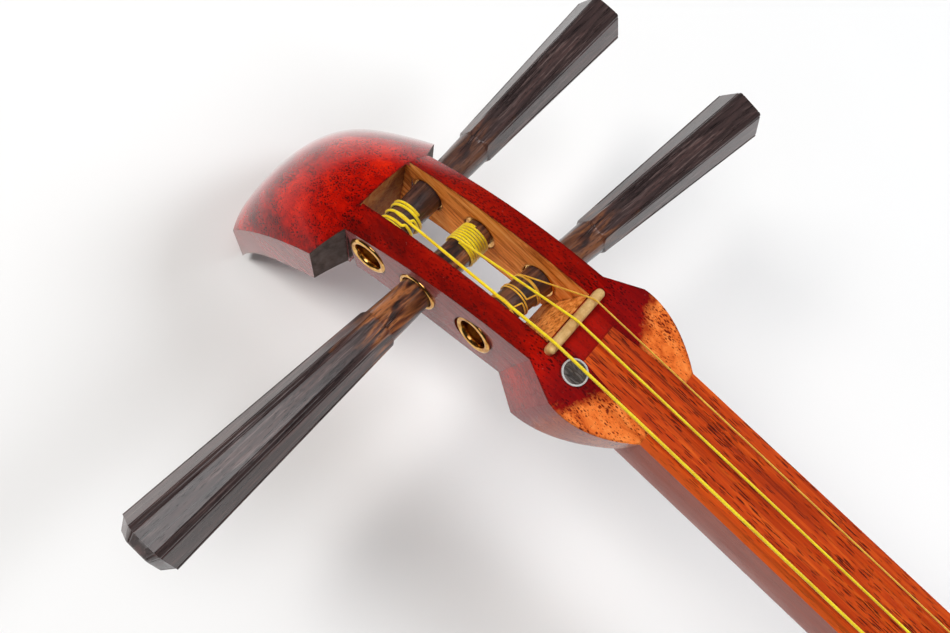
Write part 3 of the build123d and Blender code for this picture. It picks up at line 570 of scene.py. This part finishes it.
def peg_profile(along, angle, wall, butt):
    """Distance from the peg's axis to its surface."""
    slot_half = wall - SLOT_WALL
    collar = wall + COLLAR
    share = min(max((along + slot_half) / (2 * slot_half), 0), 1)
    shaft = (THIN_END + TAPER * share) * MM
    if along > wall + FLANGE:
        shaft = (5.7 + 0.6 * (along - wall - FLANGE) / (collar - wall - FLANGE)) * MM
    if along < collar - 2.0 * MM:
        return shaft
    share = (along - collar + 6 * MM) / (butt - collar + BUTT_BEVEL)
    corner = (HEX_START + (HEX_END - HEX_START) * share) * MM
    inner = corner * math.cos(math.pi / 6)
    off = (angle + math.pi / 6) % (math.pi / 3) - math.pi / 6
    flat = inner / math.cos(off)
    from_corner = (math.pi / 6 - abs(off)) * corner
    flat = min(flat, corner - 0.28 * MM)
    groove = math.exp(-((from_corner - 1.05 * MM) / (0.26 * MM)) ** 2)
    flat -= 0.22 * MM * groove * min(max((along - collar - 4 * MM) / (8 * MM), 0), 1)
    # the facets grow out of the round shaft
    cone = 6.2 * MM + max(along - collar + 1.5 * MM, 0) * 0.85
    bevel = butt - along
    if bevel < BUTT_BEVEL:
        flat = min(flat, (inner - 0.1 * MM) - (BUTT_BEVEL - bevel) * 0.92 + (flat - inner) * 0.7)
    return max(min(flat, cone), shaft if along < collar + 1 * MM else 0)


def peg(letter):
    pos, axis = peg_axis(letter)
    wall = PEG_WALL[letter]
    up = Vector((0, 0, 1))
    u = (up - axis * up.dot(axis)).normalized()
    v = axis.cross(u)
    cad = frame["nodes"][f"peg_{letter}"]
    reach = [(p.co - pos).dot(axis) for p in cad.data.vertices]
    low, butt = min(reach), max(reach)
    stations = list(np.linspace(low + 0.5 * MM, wall + 17 * MM, 24))
    stations += list(np.linspace(wall + 17.3 * MM, wall + 24 * MM, 18))
    stations += list(np.linspace(wall + 26 * MM, butt - 3.2 * MM, 26))
    stations += list(butt - MM * np.array([3.0, 2.9, 2.2, 1.4, 0.6, 0.15]))
    count = 360
    rings = [[pos + axis * low + (u * math.cos(a) + v * math.sin(a)) * 4.4 * MM
              for a in np.linspace(0, 2 * math.pi, count, endpoint=False)]]
    for along in stations:
        ring = []
        for a in np.linspace(0, 2 * math.pi, count, endpoint=False):
            r = peg_profile(along, a, wall, butt)
            ring.append(pos + axis * along + (u * math.cos(a) + v * math.sin(a)) * r)
        rings.append(ring)
    inner_ring = [pos + axis * butt + (p - pos - axis * (p - pos).dot(axis)) * 0.96 for p in rings[-1]]
    rings.append(inner_ring)
    points, faces = tube(rings)
    look = peg_wood(f"peg_wood_{letter}", axis, pos, wall, FIGURE[letter])
    name = f"peg_{letter}"
    made = add_mesh(f"turned_{name}", points, faces, look, name, [name])
    cad.data.materials.append(look)
    mark_sharp(made, 24)


def mark_sharp(made, degrees):
    """Keeps hard edges hard under smooth shading."""
    limit = math.radians(degrees)
    mesh = made.data
    normals = {}
    for polygon in mesh.polygons:
        for key in polygon.edge_keys:
            normals.setdefault(key, []).append(polygon.normal.copy())
    for edge in mesh.edges:
        pair = normals.get(tuple(sorted(edge.vertices)), [])
        if len(pair) == 2 and pair[0].angle(pair[1], 0) > limit:
            edge.use_edge_sharp = True


# groups of turns on each peg: from, to (mm across the slot) and how many
TURNS = {
    "a": ((-9.0, -6.4, 2), (-5.2, -3.4, 1), (-1.9, 1.0, 2)),
    "b": ((-9.0, -0.3, 8),),
    "c": ((-6.9, -5.2, 2), (-1.6, 0.4, 2), (4.2, 5.8, 2)),
}
WIRE = {"a": 0.55 * MM, "b": 0.45 * MM, "c": 0.30 * MM}
CAD_TURNS = {"a": (-8.3, 0.6), "b": (-8.6, -0.6), "c": (-6.5, 5.4)}


def winding(letter):
    """One string wound round its peg, in groups of turns that climb to the next."""
    pos, axis = peg_axis(letter)
    wall = PEG_WALL[letter]
    slot_half = wall - SLOT_WALL
    wire = WIRE[letter]
    low, high = CAD_TURNS[letter]
    up = Vector((0, 0, 1))
    u = (up - axis * up.dot(axis)).normalized()
    v = axis.cross(u)
    path, angle = [], 0.3
    for start, stop, turns in TURNS[letter]:
        for share in np.linspace(0, 1, turns * 40 + 1):
            along = start + (stop - start) * share
            along = min(max(along, low), high) * MM
            radius = (THIN_END + TAPER * (along + slot_half) / (2 * slot_half)) * MM + wire * 1.06
            path.append(pos + axis * along + (u * math.cos(angle) + v * math.sin(angle)) * radius)
            angle += 2 * math.pi / 40
    rings = twisted(path, wire, 2.6 * MM if letter != "c" else 1.8 * MM, depth=0.2)
    points, faces = tube(rings)
    slot_name = SLOT_OF[f"string_turns_{letter}"]
    add_mesh(f"winding_{letter}", points, faces, LOOKS[slot_name], f"peg_{letter}",
             [f"string_turns_{letter}"])


# ---- ferrules ----------------------------------------------------------------------------------------
def ferrule(letter, end):
    """A turned brass sleeve with a rounded lip."""
    pos, axis = peg_axis(letter)
    node = f"ferrule_{letter}_{end}"
    if end == "far":
        axis = -axis
    reach = [(v.co - pos).dot(axis) for v in frame["nodes"][node].data.vertices]
    start, stop = min(reach), max(reach)
    bore = (5.76 if end == "handle" else 5.06) * MM
    lip, sleeve = 7.28 * MM, 6.38 * MM
    seat = stop - FLANGE
    profile = [(start, sleeve), (seat, sleeve), (seat, lip - 0.15 * MM), (seat + 0.15 * MM, lip)]
    middle, half = (lip + bore + 0.25 * MM) / 2, (lip - bore - 0.25 * MM) / 2
    for turn in np.linspace(0, math.pi, 12):
        profile.append((seat + 0.35 * MM + math.sin(turn) * 0.74 * MM, middle + half * math.cos(turn)))
    profile += [(seat - 0.2 * MM, bore + 0.05 * MM), (seat - 0.9 * MM, bore), (start, bore)]
    u = axis.orthogonal().normalized()
    v = axis.cross(u)
    rings = [[pos + axis * along + (u * math.cos(a) + v * math.sin(a)) * r
              for a in np.linspace(0, 2 * math.pi, 72, endpoint=False)] for along, r in profile]
    points, faces = tube(rings, closed=True)
    slot_name = SLOT_OF[node]
    made = add_mesh(f"turned_{node}", points, faces, LOOKS[slot_name], "instrument", [node])
    mark_sharp(made, 40)


# ---- tail cord ---------------------------------------------------------------------------------------
def rounded(corners, radius, steps=8):
    """A polyline with its corners turned into arcs."""
    out = [Vector(corners[0])]
    for before, at, after in zip(corners, corners[1:], corners[2:]):
        at = Vector(at)
        a = at + (Vector(before) - at).normalized() * radius
        b = at + (Vector(after) - at).normalized() * radius
        for k in range(steps + 1):
            t = k / steps
            out.append(a * (1 - t) ** 2 + at * 2 * t * (1 - t) + b * t ** 2)
    return out + [Vector(corners[-1])]


def tail_cord():
    low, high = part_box("tail_cord")
    thick = 2.0 * MM
    leg = 9.0 * MM
    bar_x = high.x - 2.3 * MM
    top, bottom = high.z - 2.6 * MM, low.z + thick
    out = low.x + thick
    loop = rounded([
        (bar_x, leg, top), (out, leg, top), (out, leg, bottom),
        (out, -leg, bottom), (out, -leg, top), (bar_x, -leg, top),
    ], 3.4 * MM)
    bar = [(bar_x, low.y, high.z - 2.3 * MM), (bar_x, high.y, high.z - 2.3 * MM)]
    parts = [tube(twisted(loop, thick, 7 * MM, 4, sides=20, depth=0.24))]
    parts.append(tube(twisted(bar, 2.3 * MM, 5 * MM, 5, sides=24, depth=0.2)))
    points, faces = join(parts)
    add_mesh("braided_tail_cord", points, faces, LOOKS["cord_silk"], "instrument", ["tail_cord"])


for number, radius, pitch in ((1, 0.55 * MM, 2.6 * MM), (2, 0.45 * MM, 2.2 * MM), (3, 0.30 * MM, 1.6 * MM)):
    string(number, radius, pitch)
for letter in "abc":
    peg(letter)
    winding(letter)
    ferrule(letter, "handle")
    ferrule(letter, "far")
tail_cord()


# ---- floor, light, camera ----------------------------------------------------------------------------
def floor():
    look = Look("floor")
    tone = look.ramp(look.noise((3, 3, 3), 3, 0.5), (0.3, (0.83, 0.825, 0.82)), (0.7, (0.86, 0.858, 0.855)))
    material = look.made(tone, 0.9, specular=0.1)
    mesh = bpy.data.meshes.new("floor")
    mesh.from_pydata([(-4, -4, 0), (4, -4, 0), (4, 4, 0), (-4, 4, 0)], [], [(0, 1, 2, 3)])
    mesh.materials.append(material)
    made = bpy.data.objects.new("floor", mesh)
    bpy.context.scene.collection.objects.link(made)


def area_light(name, at, toward, size, power, colour):
    light = bpy.data.lights.new(name, "AREA")
    light.shape = "RECTANGLE"
    light.size, light.size_y = size
    light.energy = power
    light.color = colour
    made = bpy.data.objects.new(name, light)
    made.location = at
    made.rotation_euler = (Vector(toward) - Vector(at)).to_track_quat("-Z", "Y").to_euler()
    bpy.context.scene.collection.objects.link(made)
    return made


def world():
    """Pale low down, dark above, and a bright panel straight overhead."""
    made = bpy.data.worlds.new("studio")
    made.use_nodes = True
    tree = made.node_tree
    place = tree.nodes.new("ShaderNodeTexCoord")
    split = tree.nodes.new("ShaderNodeSeparateXYZ")
    ramp = tree.nodes.new("ShaderNodeValToRGB")
    tree.links.new(place.outputs["Generated"], split.inputs[0])
    tree.links.new(split.outputs["Z"], ramp.inputs["Fac"])
    tree.links.new(ramp.outputs["Color"], tree.nodes["Background"].inputs[0])
    stops = ((0.0, 0.60), (0.04, 0.22), (0.12, 0.05), (0.45, 0.03), (0.955, 0.03), (0.972, 3.2))
    while len(ramp.color_ramp.elements) < len(stops):
        ramp.color_ramp.elements.new(0.5)
    for element, (at, grey) in zip(ramp.color_ramp.elements, stops):
        element.position = at
        element.color = (grey * 0.985, grey * 0.99, grey, 1)
    tree.nodes["Background"].inputs[1].default_value = 1.0
    bpy.context.scene.world = made


CAMERA_AT = Vector((0.75551, 0.09518, 0.28873))
CAMERA_AIM = Vector((0.75788, 0.02102, 0.10300))
CAMERA_ROLL = math.radians(41.664)
CAMERA_LENS = 26.6


def camera():
    made = bpy.data.objects.new("camera", bpy.data.cameras.new("camera"))
    bpy.context.scene.collection.objects.link(made)
    made.data.lens = CAMERA_LENS
    made.data.sensor_width = 36
    made.data.clip_start = 0.01
    look = (CAMERA_AIM - CAMERA_AT).to_track_quat("-Z", "Y").to_matrix()
    made.matrix_world = Matrix.Translation(CAMERA_AT) @ (look @ Matrix.Rotation(CAMERA_ROLL, 3, "Z")).to_4x4()
    bpy.context.scene.camera = made


floor()
world()
warm = area_light("warm_left", (2.05, 0.70, 1.55), (0.76, 0.0, 0.08), (0.9, 0.9), 34.0, (1.0, 0.975, 0.945))
cool = area_light("cool_right", (-0.35, -1.15, 1.50), (0.76, 0.0, 0.08), (0.9, 0.9), 31.5, (0.93, 0.965, 1.0))
for light in (warm, cool):
    light.visible_glossy = False
camera()
bpy.context.scene.view_settings.view_transform = "Standard"
